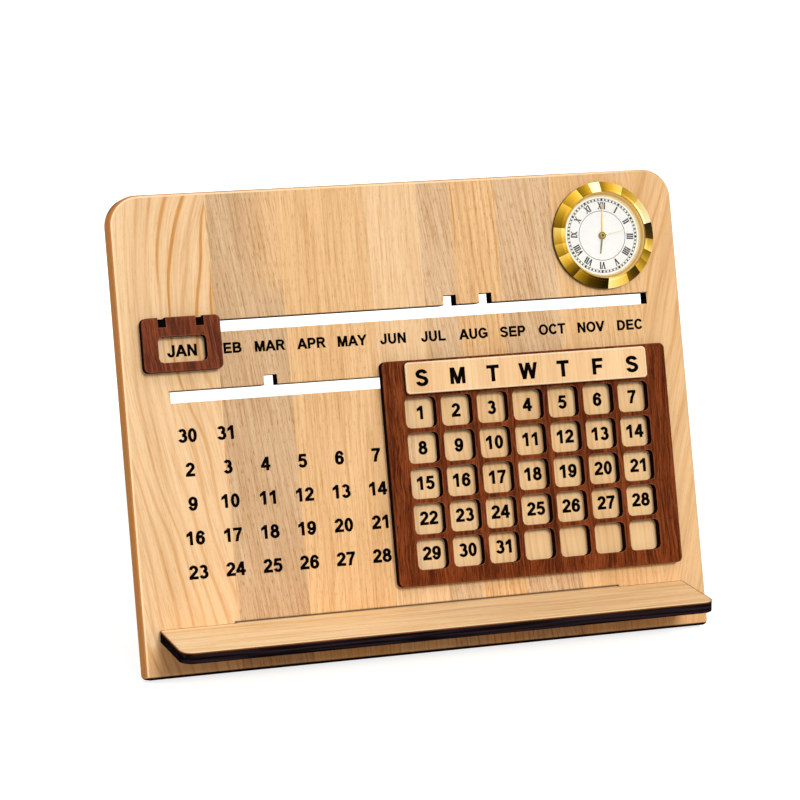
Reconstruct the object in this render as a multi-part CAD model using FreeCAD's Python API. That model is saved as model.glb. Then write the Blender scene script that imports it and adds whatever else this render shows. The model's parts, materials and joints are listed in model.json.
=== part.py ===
"""Wooden desk clock with a sliding perpetual calendar.

A board leans back on two cross-lapped legs and carries a shelf along its foot.  Two
walnut sliders hang by steel hooks in slots of the board: a small one frames the month, a
large one frames the days.  A quartz clock insert fills a round hole at the top right.

Units are millimetres.  Board frame: x to the right from the board's middle, y up along
the leaning board from its front bottom arris, z out of its front face.  Clock frame: the
same directions with the origin on the clock's axis, in the plane of the board's front.
"""
import FreeCAD, Part
import math
import os

V = FreeCAD.Vector
OUT = "parts"

# ---- board and stand ---------------------------------------------------------------
LEAN = 15.0              # board leans back from the vertical, degrees
BOARD_W = 272.5
BOARD_H = 215.8
BOARD_T = 7.0
BOARD_TOP_R = 13.5       # top corners
BOARD_FOOT_R = 2.5       # bottom corners
BOARD_ARRIS = 0.5        # eased front edge

SHELF_W = 253.0
SHELF_SHIFT = -1.5       # middle of the shelf from the board's middle
SHELF_T = 5.0
SHELF_TOP_Z = 22.8       # top of the shelf above the table
SHELF_DEPTH = 38.5       # from the board's face to the front edge
SHELF_FRONT_R = 6.0
SHELF_BACK_R = 2.0
TENON_W = 185.0          # the part of the shelf that passes through the board
TENON_REACH = 46.0       # from the board's front line to the shelf's rear edge
MORTISE_GAP = 0.4        # above the tenon
MORTISE_SIDE = 0.3       # at each end of the tenon

LEG_T = 6.0
LEG_X = 62.0             # middle of each leg, left and right
LEG_UP = 98.0            # length of the edge glued to the board
LEG_REAR = 64.0          # foot of the leg behind the board's rear arris
LEG_HEEL = 11.0          # height of the leg's rear end
LEG_HEAD = 7.0           # width of the leg's upper end
LEG_R = 4.0
LEG_SAG = 9.0            # hollow of the leg's curved back edge
LAP_GAP = 0.1            # in the cross-lap slots

# ---- slots and sliders -------------------------------------------------------------
SLOT_H = 5.3
UPPER_SLOT_DROP = 58.0   # top of the slot below the board's top
LOWER_SLOT_DROP = 88.7
SLOT_END_GAP = 0.3       # hook to slot end at the end of the travel
NOTCH_W = 6.2            # entry notches above the slots
NOTCH_H = 4.6
MONTH_NOTCH_X = 30.5     # middle of the two month notches
GRID_NOTCH_X = -67.0     # left one of the two grid notches

SLIDER_T = 4.5
SLIDER_GAP = 0.4         # between the board's face and a slider
SLIDER_CHAMFER = 0.35
MONTH_FIRST = 28.45      # middle of the month slider at the first month, from the board's left edge
MONTH_LAST = 27.46       # and at the last month, from its right edge
MONTH_W = 36.4
MONTH_H = 24.5
MONTH_RISE = 2.4         # top of the month slider above its slot
MONTH_R = 2.6
MONTH_WIN_W = 22.4
MONTH_WIN_H = 11.6
MONTH_WIN_DROP = 12.1    # middle of the month window below the slot's top
MONTH_WIN_R = 2.0

GRID_COLS = 7
GRID_ROWS = 5
GRID_PITCH_X = 17.5
GRID_INSET = 29.75       # middle of the last column of windows, from the board's edge
GRID_DROP = 10.7         # top of the first row of windows below the slot's top
GRID_BAR = 2.18          # between two rows of windows
GRID_WIN_W = 15.0
GRID_WIN_R = 2.2
WIN_FACETS = 2           # flats that make a window's rounded corner
THROUGH = 1.0            # cuts run this far past the faces they open
GRID_LEFT = 9.5          # border left of the windows
GRID_RIGHT = 10.3        # and right of them
GRID_FOOT = 7.1          # border under the windows
GRID_CLEAR = 8.85        # under the grid slider, down to the shelf
GRID_RISE = 6.4          # top of the grid slider above its slot
GRID_R = 2.5
GRID_STOP = 10.75        # grid slider to the board's edge at the end of its travel

STRIP_T = 3.0
STRIP_W = 119.0
STRIP_H = 14.5
STRIP_FOOT = 1.45        # between the strip and the first row of windows
STRIP_R = 1.8

HOOK_W = 3.7
HOOK_PLAY = 0.4          # under and over the shank, and behind the board
HOOK_TIP_T = 3.6
HOOK_TIP_RISE = 3.9      # of the upturned tip above the slot's top
HOOK_SEAT_DROP = 2.1     # foot of the hook's seat in the slider below the slot's top
HOOK_SEAT_RISE = 1.7
HOOK_RECESS = 1.0        # hook's end below the slider's front face
MONTH_HOOK_PITCH = 17.5
GRID_HOOK_PITCH = 112.0

# ---- clock insert ------------------------------------------------------------------
CLOCK_INSET = 36.4       # clock's axis from the board's right edge
CLOCK_DROP = 30.15       # and from its top edge
CLOCK_TURN = 4.3         # the insert sits a little turned clockwise in its hole, degrees
HOLE_R = 22.3            # in the board
SEAT = 0.08              # clearance of fixed round pieces in their seats
FIT = 0.06               # running clearance of arbors and tubes

CASE_R = 21.3
CASE_WALL = 0.9
CASE_DEPTH = 11.0        # from the board's face to the inside of the floor
FLOOR_T = 1.0
GRIP_GAP = 0.05          # grip ring's ribs to the hole
GRIP_RIBS = 18
GRIP_RIB_H = 0.35
GRIP_Z = (-5.8, -1.2)

BEZEL_R = 25.1
BEZEL_EDGE = 2.2
BEZEL_LIP_R = 20.3
BEZEL_RISE = 4.4
LIP_T = 0.35             # bezel's lip over the crystal
CRYSTAL_T = 0.9
DIAL_T = 0.4
DIAL_HOLE_R = 1.6
DIAL_SHOW_R = 18.3       # inner edge of the sloped ring

PLATE_W = 28.0           # movement, square with clipped corners
PLATE_CLIP = 7.0
PLATE_T = 2.6
POCKET = 1.8             # motion work pocket in the front of the plate
POCKET_ROOM = 0.3        # round the wheels
WELL_ROOM = 0.4          # between the movement and the well of the cell
SECOND_DEPTH = 2.0       # of the second arbor in the sealed housing
CANNON_DEPTH = 0.8       # of the cannon pinion

WHEEL_T = 0.4
PINION_OVER = 0.1        # a pinion stands this far over the wheel it drives, on each side
LEVEL_GAP = 0.2
FLOOR_GAP = 0.05         # under the lowest wheel and pinion
ARBOR_R = 0.3
CANNON_TEETH = 8
MINUTE_TEETH = 24
MINUTE_PINION_TEETH = 6
HOUR_TEETH = 24
MINUTE_DISTANCE = 6.0    # from the clock's axis to the minute wheel's
MINUTE_ANGLE = 200.0     # and its direction
ADDENDUM = 0.8           # tooth above and below the pitch circle, in modules
DEDENDUM = 1.15
TIP_SHARE = 0.09         # half the tooth's width at tip and root, in pitches
ROOT_SHARE = 0.27

SECOND_ARBOR_R = 0.42
CANNON_R = 0.93
HOUR_PIPE_R = 1.45
HAND_T = 0.15
HAND_GAP = 0.22
HAND_SEAT = 0.02         # between a hand and its pipe
HOUR_HAND = (8.6, 0.9, 0.55, 1.85)       # length, width at hub and tip, hub radius
MINUTE_HAND = (15.0, 0.6, 0.35, 1.7)
SECOND_HAND = (11.4, 0.32, 0.2, 1.0)
HOUR_AT = 186.0          # hand angles at rest, degrees clockwise from twelve
MINUTE_AT = 0.0
SECOND_AT = 75.5

CELL_R = 3.4
CELL_T = 2.6
CELL_X = -8.5
CELL_Y = 9.0
CELL_GAP = 0.15
CELL_ROOM = 1.0          # between the cell and the movement above it
WELL_WALL = 0.8
WELL_SHORT = 0.8         # the well ends this far below the cell's top
COVER_R = 5.4
COVER_T = 0.8
COVER_PLAY = 0.1
COVER_OPEN = 60.0
LUG_R = 4.9
LUG_T = 0.4
LUG_ANGLE = 32.0
LUG_PLAY = 4.0           # degrees on each side of a lug
COIN_SLOT = (7.0, 1.2, 0.45)
CONTACT_T = 0.2
CONTACT_W = 2.0
CONTACT_FOOT = 1.5       # length of the flat that lies on the cell
CONTACT_HEAD = 2.0       # and of the one under the movement
CONTACT_RUN = 1.5        # of the slope between them
KNOB_R = 3.2
KNOB_T = 1.5
KNOB_GAP = 0.2
KNOB_RIBS = 12
KNOB_RIB_H = 0.5
KNOB_BORE = 1.0

# ---- frames ------------------------------------------------------------------------
SIN = math.sin(math.radians(LEAN))
COS = math.cos(math.radians(LEAN))
FOOT_Z = BOARD_T * SIN                     # front arris above the table
BACK_Y = BOARD_T * COS                     # rear arris behind the front one
REAR_Y = BACK_Y + LEG_REAR
SHELF_LOW = SHELF_TOP_Z - SHELF_T
SHELF_V = (SHELF_TOP_Z - FOOT_Z) / COS     # the shelf's top, up the board's face
SHELF_Y = SHELF_V * SIN
FRONT_Y = SHELF_Y - SHELF_DEPTH
MID_Y = (FRONT_Y + REAR_Y) / 2             # the part's origin is midway, on the table
CLOCK_X = BOARD_W / 2 - CLOCK_INSET
CLOCK_Y = BOARD_H - CLOCK_DROP
NEAR = 1e-4                                # two places closer than this are one

BOARD_FRAME = FreeCAD.Placement(V(0, -MID_Y, FOOT_Z), FreeCAD.Rotation(V(1, 0, 0), 90 - LEAN))
TABLE_FRAME = FreeCAD.Placement(V(0, -MID_Y, 0), FreeCAD.Rotation())
CLOCK_FRAME = BOARD_FRAME.multiply(
    FreeCAD.Placement(V(CLOCK_X, CLOCK_Y, 0), FreeCAD.Rotation(V(0, 0, 1), -CLOCK_TURN)))


# ---- shape helpers -----------------------------------------------------------------
def save(name, frame, solid):
    """Place a solid by its frame and write it as one sub-part."""
    solid = solid.copy()
    solid.Placement = frame.multiply(solid.Placement)
    solid.exportStep(os.path.join(OUT, name + ".step"))


def span(middle, size):
    return middle - size / 2, middle + size / 2


def beyond(z, extra=THROUGH):
    """Span that runs past both ends of another."""
    return z[0] - extra, z[1] + extra


def box(x, y, z):
    """Box between pairs of coordinates."""
    return Part.makeBox(x[1] - x[0], y[1] - y[0], z[1] - z[0], V(x[0], y[0], z[0]))


def disc(radius, z, x=0.0, y=0.0):
    return Part.makeCylinder(radius, z[1] - z[0], V(x, y, z[0]))


def ring(outer, inner, z):
    return disc(outer, z).cut(disc(inner, z))


def prism(points, vector):
    """Solid swept along a vector from a closed outline of points."""
    return Part.Face(Part.makePolygon(list(points) + [points[0]])).extrude(vector)


def turned(profile):
    """Solid of revolution about z from (radius, z) pairs."""
    points = [V(r, 0, z) for r, z in profile]
    face = Part.Face(Part.makePolygon(points + [points[0]]))
    return face.revolve(V(0, 0, 0), V(0, 0, 1), 360)


def polar(radius, degrees):
    return radius * math.cos(math.radians(degrees)), radius * math.sin(math.radians(degrees))


def moved(solid, x, y):
    solid = solid.copy()
    solid.translate(V(x, y, 0))
    return solid


def edges_at(solid, place):
    """Edges that lie in the planes given by a dict such as {"X": 3.0, "Y": 5.0}."""
    def lies(edge, axis, at):
        ends = getattr(edge.BoundBox, axis + "Min"), getattr(edge.BoundBox, axis + "Max")
        return all(abs(end - at) < NEAR for end in ends)
    return [e for e in solid.Edges if all(lies(e, axis, at) for axis, at in place.items())]


def plate(x, y, z, radii):
    """Flat plate with rounded corners: bottom left, bottom right, top right, top left."""
    solid = box(x, y, z)
    corners = ((x[0], y[0]), (x[1], y[0]), (x[1], y[1]), (x[0], y[1]))
    for (cx, cy), radius in zip(corners, radii):
        solid = solid.makeFillet(radius, edges_at(solid, {"X": cx, "Y": cy}))
    return solid


def eased(solid, z, size):
    """The solid with its outer outline in the plane z chamfered."""
    return solid.makeChamfer(size, edges_at(solid, {"Z": z}))


def window(x, y, z, radius):
    """Cutter for a window whose rounded corners are made of short flats."""
    step = 90.0 / WIN_FACETS
    corners = ((x[1], y[1], 0), (x[0], y[1], 90), (x[0], y[0], 180), (x[1], y[0], 270))
    points = []
    for cx, cy, start in corners:
        inward_x = math.copysign(radius, x[0] + x[1] - 2 * cx)
        inward_y = math.copysign(radius, y[0] + y[1] - 2 * cy)
        for i in range(WIN_FACETS + 1):
            dx, dy = polar(radius, start + i * step)
            points.append(V(cx + inward_x + dx, cy + inward_y + dy, z[0]))
    return prism(points, V(0, 0, z[1] - z[0]))


# ---- board, shelf and legs ---------------------------------------------------------
UPPER_SLOT_TOP = BOARD_H - UPPER_SLOT_DROP
LOWER_SLOT_TOP = BOARD_H - LOWER_SLOT_DROP
MONTH_X = MONTH_FIRST - BOARD_W / 2
MONTH_TRAVEL = BOARD_W - MONTH_FIRST - MONTH_LAST
GRID_X1 = BOARD_W / 2 - GRID_INSET
GRID_X0 = GRID_X1 - (GRID_COLS - 1) * GRID_PITCH_X
GRID_MID = (GRID_X0 + GRID_X1) / 2
GRID_X = (GRID_X0 - GRID_WIN_W / 2 - GRID_LEFT, GRID_X1 + GRID_WIN_W / 2 + GRID_RIGHT)
GRID_TRAVEL = GRID_X[0] + BOARD_W / 2 - GRID_STOP
GRID_LOW = SHELF_V + GRID_CLEAR
GRID_WIN_TOP = LOWER_SLOT_TOP - GRID_DROP
GRID_WIN_H = (GRID_WIN_TOP - GRID_LOW - GRID_FOOT - (GRID_ROWS - 1) * GRID_BAR) / GRID_ROWS
MONTH_HOOKS = span(MONTH_X, MONTH_HOOK_PITCH)
GRID_HOOKS = span(GRID_MID, GRID_HOOK_PITCH)
SLOT_REACH = HOOK_W / 2 + SLOT_END_GAP
BOARD_Z = (-BOARD_T, 0)


def slot_cut(x, top, notches):
    """Slot through the board with square entry notches along its upper edge."""
    cut = box(x, (top - SLOT_H, top), beyond(BOARD_Z))
    for notch in notches:
        cut = cut.fuse(box(span(notch, NOTCH_W), (top - THROUGH, top + NOTCH_H), beyond(BOARD_Z)))
    return cut


def mortise():
    """Opening for the shelf's tenon, level with the table, in board coordinates."""
    cut = box(span(0, TENON_W + 2 * MORTISE_SIDE), (SHELF_Y - BOARD_T, SHELF_Y + 3 * BOARD_T),
              (SHELF_LOW, SHELF_TOP_Z + MORTISE_GAP))
    cut.Placement = BOARD_FRAME.inverse().multiply(TABLE_FRAME)
    return cut


def board():
    solid = plate(span(0, BOARD_W), (0, BOARD_H), BOARD_Z,
                  (BOARD_FOOT_R, BOARD_FOOT_R, BOARD_TOP_R, BOARD_TOP_R))
    solid = eased(solid, BOARD_Z[1], BOARD_ARRIS)
    month_run = (MONTH_HOOKS[0] - SLOT_REACH, MONTH_HOOKS[1] + MONTH_TRAVEL + SLOT_REACH)
    grid_run = (GRID_HOOKS[0] - GRID_TRAVEL - SLOT_REACH, GRID_HOOKS[1] + SLOT_REACH)
    upper = slot_cut(month_run, UPPER_SLOT_TOP, span(MONTH_NOTCH_X, MONTH_HOOK_PITCH))
    lower = slot_cut(grid_run, LOWER_SLOT_TOP, (GRID_NOTCH_X, GRID_NOTCH_X + GRID_HOOK_PITCH))
    hole = disc(HOLE_R, beyond(BOARD_Z), CLOCK_X, CLOCK_Y)
    return solid.cut(upper).cut(lower).cut(hole).cut(mortise())


def lap_middle():
    """Where the cross-laps of shelf and legs meet, as y on the table."""
    board_back = SHELF_Y + BOARD_T / COS
    return (board_back + SHELF_Y + TENON_REACH) / 2


def shelf():
    level = (SHELF_LOW, SHELF_TOP_Z)
    back = SHELF_Y + TENON_REACH
    front = plate(span(SHELF_SHIFT, SHELF_W), (FRONT_Y, SHELF_Y), level,
                  (SHELF_FRONT_R, SHELF_FRONT_R, SHELF_BACK_R, SHELF_BACK_R))
    behind_face = box(span(0, 2 * BOARD_W), span(0, 2 * BOARD_H), (-BOARD_H, 0))
    behind_face.Placement = TABLE_FRAME.inverse().multiply(BOARD_FRAME)
    tenon = box(span(0, TENON_W), (FRONT_Y + SHELF_DEPTH / 2, back), level)
    solid = front.cut(behind_face).fuse(tenon).removeSplitter()
    for x in (-LEG_X, LEG_X):
        solid = solid.cut(box(span(x, LEG_T + 2 * LAP_GAP), (lap_middle(), back + THROUGH), beyond(level)))
    return solid


def leg(x):
    """Upright plate behind the board: a slender triangle with a hollow back edge."""
    left = x - LEG_T / 2
    toe = V(left, BACK_Y, 0)
    head = toe + V(0, SIN, COS) * LEG_UP
    crown = head + V(0, LEG_HEAD, 0)
    heel = V(left, REAR_Y, LEG_HEEL)
    rear = V(left, REAR_Y, 0)
    hollow = (crown + heel) * 0.5 + V(0, -COS, -SIN) * LEG_SAG
    outline = Part.Wire([Part.makeLine(toe, head), Part.makeLine(head, crown),
                         Part.Arc(crown, hollow, heel).toShape(),
                         Part.makeLine(heel, rear), Part.makeLine(rear, toe)])
    solid = Part.Face(outline).extrude(V(LEG_T, 0, 0))
    for corner in (crown, heel):
        solid = solid.makeFillet(LEG_R, edges_at(solid, {"Y": corner.y, "Z": corner.z}))
    lap = box(beyond((left, left + LEG_T)), (0, lap_middle() + LAP_GAP),
              beyond((SHELF_LOW, SHELF_TOP_Z), LAP_GAP))
    return solid.cut(lap)


# ---- sliders -----------------------------------------------------------------------
SLIDER_Z = (SLIDER_GAP, SLIDER_GAP + SLIDER_T)
MONTH_TOP = UPPER_SLOT_TOP + MONTH_RISE


def hook_seat(x, slot_top, seat_top):
    """Mortise in a slider for a hook's end."""
    return box(span(x, HOOK_W), (slot_top - HOOK_SEAT_DROP, seat_top), beyond(SLIDER_Z))


def hook(x, slot_top):
    """Flat steel hook: seat in the slider, shank through the slot, tip up behind the board."""
    back = -BOARD_T - HOOK_PLAY
    end = back - HOOK_TIP_T
    front = SLIDER_Z[1] - HOOK_RECESS
    under = slot_top - SLOT_H + HOOK_PLAY / 2
    over = slot_top - HOOK_PLAY / 2
    tip = slot_top + HOOK_TIP_RISE
    seat_low, seat_high = slot_top - HOOK_SEAT_DROP, slot_top + HOOK_SEAT_RISE
    outline = ((under, SLIDER_GAP), (under, end), (tip, end), (tip, back), (over, back),
               (over, SLIDER_GAP), (seat_high, SLIDER_GAP), (seat_high, front),
               (seat_low, front), (seat_low, SLIDER_GAP))
    left, right = span(x, HOOK_W)
    return prism([V(left, y, z) for y, z in outline], V(right - left, 0, 0))


def month_slider():
    """Small frame whose two hook seats are open at the top."""
    solid = plate(span(MONTH_X, MONTH_W), (MONTH_TOP - MONTH_H, MONTH_TOP), SLIDER_Z, (MONTH_R,) * 4)
    solid = eased(solid, SLIDER_Z[1], SLIDER_CHAMFER)
    middle = UPPER_SLOT_TOP - MONTH_WIN_DROP
    solid = solid.cut(window(span(MONTH_X, MONTH_WIN_W), span(middle, MONTH_WIN_H),
                             beyond(SLIDER_Z), MONTH_WIN_R))
    for x in MONTH_HOOKS:
        solid = solid.cut(hook_seat(x, UPPER_SLOT_TOP, MONTH_TOP + THROUGH))
    return solid


def grid_slider():
    """Large frame with a window for each day that the month can show."""
    solid = plate(GRID_X, (GRID_LOW, LOWER_SLOT_TOP + GRID_RISE), SLIDER_Z, (GRID_R,) * 4)
    solid = eased(solid, SLIDER_Z[1], SLIDER_CHAMFER)
    windows = []
    for row in range(GRID_ROWS):
        top = GRID_WIN_TOP - row * (GRID_WIN_H + GRID_BAR)
        for column in range(GRID_COLS):
            middle = GRID_X0 + column * GRID_PITCH_X
            windows.append(window(span(middle, GRID_WIN_W), (top - GRID_WIN_H, top),
                                  beyond(SLIDER_Z), GRID_WIN_R))
    seats = [hook_seat(x, LOWER_SLOT_TOP, LOWER_SLOT_TOP + HOOK_SEAT_RISE) for x in GRID_HOOKS]
    return solid.cut(windows + seats)


def weekday_strip():
    foot = GRID_WIN_TOP + STRIP_FOOT
    z = (SLIDER_Z[1], SLIDER_Z[1] + STRIP_T)
    solid = plate(span(GRID_MID, STRIP_W), (foot, foot + STRIP_H), z, (STRIP_R,) * 4)
    return eased(solid, z[1], SLIDER_CHAMFER)


# ---- clock: levels and places ------------------------------------------------------
CASE_BORE = CASE_R - CASE_WALL
GLASS_Z = (BEZEL_RISE - LIP_T - CRYSTAL_T, BEZEL_RISE - LIP_T)
PLATE_Z = (-PLATE_T, 0)
FLOOR_Z = (-CASE_DEPTH - FLOOR_T, -CASE_DEPTH)
MINUTE_Z = (PINION_OVER + FLOOR_GAP - POCKET, PINION_OVER + FLOOR_GAP - POCKET + WHEEL_T)
HOUR_LOW = MINUTE_Z[1] + PINION_OVER + LEVEL_GAP
HOUR_Z = (HOUR_LOW, HOUR_LOW + WHEEL_T)
HOUR_HAND_Z = (DIAL_T + HAND_GAP, DIAL_T + HAND_GAP + HAND_T)
MINUTE_HAND_Z = (HOUR_HAND_Z[1] + HAND_GAP, HOUR_HAND_Z[1] + HAND_GAP + HAND_T)
SECOND_HAND_Z = (MINUTE_HAND_Z[1] + HAND_GAP, MINUTE_HAND_Z[1] + HAND_GAP + HAND_T)
LUG_Z = (FLOOR_Z[1] + COVER_PLAY, FLOOR_Z[1] + COVER_PLAY + LUG_T)
CELL_Z = (LUG_Z[1] + COVER_PLAY, LUG_Z[1] + COVER_PLAY + CELL_T)
KNOB_Z = (FLOOR_Z[0] - KNOB_GAP - KNOB_T, FLOOR_Z[0] - KNOB_GAP)
WELL_W = 2 * (LUG_R + COVER_PLAY + WELL_WALL)
MINUTE_XY = polar(MINUTE_DISTANCE, MINUTE_ANGLE)
CANNON_MODULE = 2 * MINUTE_DISTANCE / (CANNON_TEETH + MINUTE_TEETH)
HOUR_MODULE = 2 * MINUTE_DISTANCE / (MINUTE_PINION_TEETH + HOUR_TEETH)
CELL_XY = (CELL_X, CELL_Y)


# ---- clock: case and face ----------------------------------------------------------
def bezel():
    """Gilt flange with a sloped face and a lip over the crystal, pressed on the case's rim."""
    rim = CASE_R + SEAT
    return turned(((BEZEL_R, 0), (BEZEL_R, BEZEL_EDGE), (BEZEL_LIP_R, BEZEL_RISE),
                   (BEZEL_LIP_R, GLASS_Z[1]), (rim, GLASS_Z[1]), (rim, 0)))


def crystal():
    return disc(CASE_BORE - SEAT, GLASS_Z)


def sloped_ring():
    """Gilt ring between crystal and dial, sloping in towards the dial."""
    outer = CASE_BORE - SEAT
    return turned(((outer, DIAL_T), (outer, GLASS_Z[0]), (DIAL_SHOW_R, DIAL_T)))


def dial():
    return ring(CASE_BORE - SEAT, DIAL_HOLE_R, (0, DIAL_T))


def case():
    """Moulded cup with a well for the cell and a bayonet opening in its floor."""
    solid = disc(CASE_R, (FLOOR_Z[0], GLASS_Z[1] - FLOOR_GAP))
    solid = solid.cut(disc(CASE_BORE, (FLOOR_Z[1], GLASS_Z[1] + THROUGH)))
    lug_room = (FLOOR_Z[0] - THROUGH, LUG_Z[1] + COVER_PLAY)
    well = box(span(0, WELL_W), span(0, WELL_W), (FLOOR_Z[1], CELL_Z[1] - WELL_SHORT))
    opening = disc(LUG_R + COVER_PLAY, (FLOOR_Z[1], lug_room[1]))
    opening = opening.fuse(disc(CELL_R + CELL_GAP, (lug_room[0], CELL_Z[1])))
    opening = opening.fuse(lugs(LUG_R + COVER_PLAY, lug_room, LUG_ANGLE + 2 * LUG_PLAY, -COVER_OPEN))
    solid = solid.fuse(moved(well, *CELL_XY)).cut(moved(opening, *CELL_XY))
    return solid.cut(disc(ARBOR_R + FIT, beyond(FLOOR_Z), *MINUTE_XY))


def grip_ring():
    """Nylon ring round the case, with crush ribs that grip the hole in the board."""
    flat = 360.0 / GRIP_RIBS
    corner = (CASE_R + SEAT) / math.cos(math.radians(flat / 2))
    inside = [V(*polar(corner, i * flat), GRIP_Z[0] - THROUGH) for i in range(GRIP_RIBS)]
    tip = HOLE_R - GRIP_GAP
    solid = toothed(GRIP_RIBS, tip, tip - GRIP_RIB_H, GRIP_Z)
    return solid.cut(prism(inside, V(0, 0, GRIP_Z[1] - GRIP_Z[0] + 2 * THROUGH)))


# ---- clock: gears ------------------------------------------------------------------
def toothed(teeth, tip, root, z, phase=0.0):
    """Disc with straight-sided teeth; phase is the direction of one tooth's middle."""
    pitch = 360.0 / teeth
    points = []
    for i in range(teeth):
        for radius, share in ((root, -ROOT_SHARE), (tip, -TIP_SHARE), (tip, TIP_SHARE), (root, ROOT_SHARE)):
            points.append(V(*polar(radius, phase + pitch * (i + share)), z[0]))
    return prism(points, V(0, 0, z[1] - z[0]))


def tip_radius(teeth, module):
    return module * (teeth / 2 + ADDENDUM)


def gear(teeth, module, z, phase=0.0):
    return toothed(teeth, tip_radius(teeth, module), module * (teeth / 2 - DEDENDUM), z, phase)


def meshed(teeth, direction, other_teeth):
    """Phase of a gear that meshes with one of phase 0 lying in a direction from it."""
    offset = direction % (360.0 / teeth)
    return direction + 180 + offset * teeth / other_teeth + 180.0 / other_teeth


def cannon_pinion():
    """Tube round the second arbor that carries the minute hand and drives the motion work."""
    foot = PLATE_Z[0] - CANNON_DEPTH + FLOOR_GAP
    solid = disc(CANNON_R, (foot, MINUTE_HAND_Z[1]))
    solid = solid.fuse(gear(CANNON_TEETH, CANNON_MODULE, beyond(MINUTE_Z, PINION_OVER)))
    return solid.cut(disc(SECOND_ARBOR_R + FIT, beyond((foot, MINUTE_HAND_Z[1]))))


def minute_wheel():
    """Motion-work wheel and pinion on a long arbor that ends in the setting knob."""
    high = HOUR_Z[1] + PINION_OVER
    phase = meshed(CANNON_TEETH, MINUTE_ANGLE, MINUTE_TEETH)
    solid = gear(MINUTE_TEETH, CANNON_MODULE, MINUTE_Z, phase)
    solid = solid.fuse(gear(MINUTE_PINION_TEETH, HOUR_MODULE, (MINUTE_Z[1], high)))
    solid = solid.fuse(disc(ARBOR_R, (KNOB_Z[1] - KNOB_BORE + FLOOR_GAP, high)))
    return moved(solid, *MINUTE_XY)


def hour_wheel():
    phase = meshed(MINUTE_PINION_TEETH, MINUTE_ANGLE + 180, HOUR_TEETH)
    pipe = (HOUR_Z[0], HOUR_HAND_Z[1])
    solid = gear(HOUR_TEETH, HOUR_MODULE, HOUR_Z, phase).fuse(disc(HOUR_PIPE_R, pipe))
    return solid.cut(disc(CANNON_R + FIT, beyond(pipe)))


def second_arbor():
    return disc(SECOND_ARBOR_R, (PLATE_Z[0] - SECOND_DEPTH + FLOOR_GAP, SECOND_HAND_Z[1]))


# ---- clock: movement ---------------------------------------------------------------
def clipped_square(z):
    """Square block with clipped corners, the movement's outline."""
    half, clip = PLATE_W / 2, PLATE_W / 2 - PLATE_CLIP
    quarter = ((half, -clip), (half, clip))
    points = [(x, y) for x, y in quarter]
    for _ in range(3):
        quarter = tuple((-y, x) for x, y in quarter)
        points.extend(quarter)
    return prism([V(x, y, z[0]) for x, y in points], V(0, 0, z[1] - z[0]))


def movement_plate():
    """Front plate with the pocket of the motion work."""
    hour_reach = tip_radius(HOUR_TEETH, HOUR_MODULE) + POCKET_ROOM
    minute_reach = MINUTE_DISTANCE + tip_radius(MINUTE_TEETH, CANNON_MODULE) + POCKET_ROOM
    pocket = box((-hour_reach, minute_reach), (-hour_reach, hour_reach), (-POCKET, THROUGH))
    pocket.rotate(V(0, 0, 0), V(0, 0, 1), MINUTE_ANGLE)
    solid = clipped_square(PLATE_Z).cut(pocket)
    solid = solid.cut(disc(CANNON_R + FIT, beyond(PLATE_Z)))
    return solid.cut(disc(ARBOR_R + FIT, beyond(PLATE_Z), *MINUTE_XY))


def movement_housing():
    """Sealed housing of the motor, standing on the case's floor beside the well."""
    z = (FLOOR_Z[1], PLATE_Z[0])
    reach = WELL_W / 2 + WELL_ROOM
    room = box((-PLATE_W, reach), (-reach, PLATE_W), (z[0] - THROUGH, CELL_Z[1] + CELL_ROOM))
    solid = clipped_square(z).cut(moved(room, *CELL_XY))
    solid = solid.cut(disc(SECOND_ARBOR_R + FIT, (z[1] - SECOND_DEPTH, z[1] + THROUGH)))
    solid = solid.cut(disc(CANNON_R + FIT, (z[1] - CANNON_DEPTH, z[1] + THROUGH)))
    return solid.cut(disc(ARBOR_R + FIT, beyond(z), *MINUTE_XY))


# ---- clock: cell, cover and knob ---------------------------------------------------
def lugs(radius, z, angle, turn=0.0):
    """Two opposite sectors, such as a bayonet's lugs or the notches they pass."""
    sectors = []
    for start in (turn - angle / 2, turn + 180 - angle / 2):
        sector = Part.makeCylinder(radius, z[1] - z[0], V(0, 0, z[0]), V(0, 0, 1), angle)
        sector.rotate(V(0, 0, 0), V(0, 0, 1), start)
        sectors.append(sector)
    return sectors[0].fuse(sectors[1])


def battery_cover():
    """Quarter-turn cover with two lugs and a coin slot."""
    face = FLOOR_Z[0] - COVER_T
    solid = disc(COVER_R, (face, FLOOR_Z[0]))
    solid = solid.fuse(disc(CELL_R + CELL_GAP - COVER_PLAY, (FLOOR_Z[0], LUG_Z[1])))
    solid = solid.fuse(lugs(LUG_R, LUG_Z, LUG_ANGLE))
    length, width, depth = COIN_SLOT
    groove = box(span(0, length), span(0, width), (face - THROUGH, face + depth))
    return moved(solid.cut(groove), *CELL_XY)


def button_cell():
    return disc(CELL_R, CELL_Z, *CELL_XY)


def cell_contact():
    """Bent strip from under the movement down to the cell."""
    foot, head = CELL_Z[1], CELL_Z[1] + CELL_ROOM
    half = CONTACT_RUN / 2
    outline = ((half + CONTACT_HEAD, head), (half, head), (-half, foot + CONTACT_T),
               (-half - CONTACT_FOOT, foot + CONTACT_T), (-half - CONTACT_FOOT, foot),
               (CONTACT_T / 2 - half, foot), (CONTACT_T / 2 + half, head - CONTACT_T),
               (half + CONTACT_HEAD, head - CONTACT_T))
    strip = prism([V(x, -CONTACT_W / 2, z) for x, z in outline], V(0, CONTACT_W, 0))
    return moved(strip, *CELL_XY)


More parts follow.
